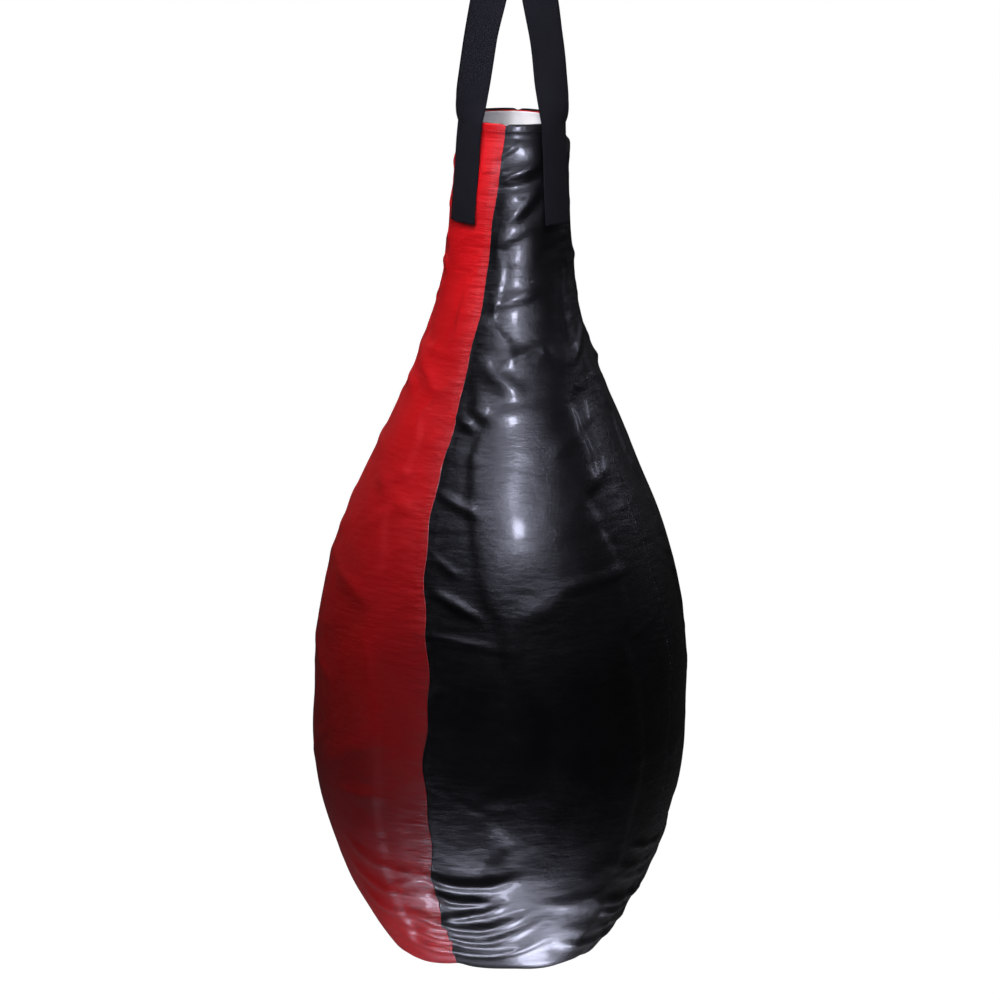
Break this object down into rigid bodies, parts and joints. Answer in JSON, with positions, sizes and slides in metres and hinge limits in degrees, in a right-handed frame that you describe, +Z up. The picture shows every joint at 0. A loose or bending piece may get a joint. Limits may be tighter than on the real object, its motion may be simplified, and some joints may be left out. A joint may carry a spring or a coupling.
{
  "type": "heavy punching bag",
  "caption": "Teardrop heavy punching bag in red and black leatherette, hung by crossed webbing straps from a D-ring and a bearing swivel.",
  "frame": {"origin": "centre of the swivel's hanging eye", "axes": "+Z up along the hanging line, +Y along the eye's bore towards the back, -Y is the front"},
  "size_m": [0.4622, 0.4622, 1.4708],
  "materials": {
    "black_leatherette": "gloss",
    "red_leatherette": "gloss",
    "webbing": "matte",
    "white_lining": "matte",
    "foam": "matte",
    "textile_filling": "matte",
    "zinc_steel": "satin",
    "seal_rubber": "matte",
    "cage_brass": "satin"
  },
  "bodies": {
    "hanger": {"swivel_eye": "zinc_steel", "bearing_race_lower": "zinc_steel", "shank_nut": "zinc_steel", "shank_pin": "zinc_steel"},
    "swivel": {"swivel_housing": "zinc_steel", "dust_seal": "seal_rubber", "bearing_race_upper": "zinc_steel", "bearing_balls": "zinc_steel", "bearing_cage": "cage_brass", "jaw_bolt": "zinc_steel", "jaw_nut": "zinc_steel", "jaw_washers": "zinc_steel", "bolt_spacers": "zinc_steel"},
    "ring": {"d_ring": "zinc_steel"},
    "bag": {"strap_inner": "webbing", "strap_outer": "webbing", "panel_front": "black_leatherette", "panel_right": "black_leatherette", "panel_back": "black_leatherette", "panel_left": "red_leatherette", "bottom_panel": "black_leatherette", "bottom_seam_tape": "webbing", "bottom_reinforcement": "white_lining", "seam_tapes": "webbing", "rim_facing": "red_leatherette", "strap_patches": "red_leatherette", "neck_lining": "white_lining", "closing_flap": "white_lining", "foam_layer": "foam", "inner_bag": "white_lining", "filling": "textile_filling"}
  },
  "joints": [
    {"name": "swivel_spin", "type": "hinge", "parent": "hanger", "child": "swivel", "pos_m": [0, 0, -0.0385], "axis": [0, 0, 1], "continuous": true},
    {"name": "ring_swing", "type": "hinge", "parent": "swivel", "child": "ring", "pos_m": [0, 0, -0.075], "axis": [0, 1, 0], "range_deg": [-45, 45]},
    {"name": "bag_swing", "type": "hinge", "parent": "ring", "child": "bag", "pos_m": [0, 0, -0.1048], "axis": [1, 0, 0], "range_deg": [-60, 60]}
  ]
}
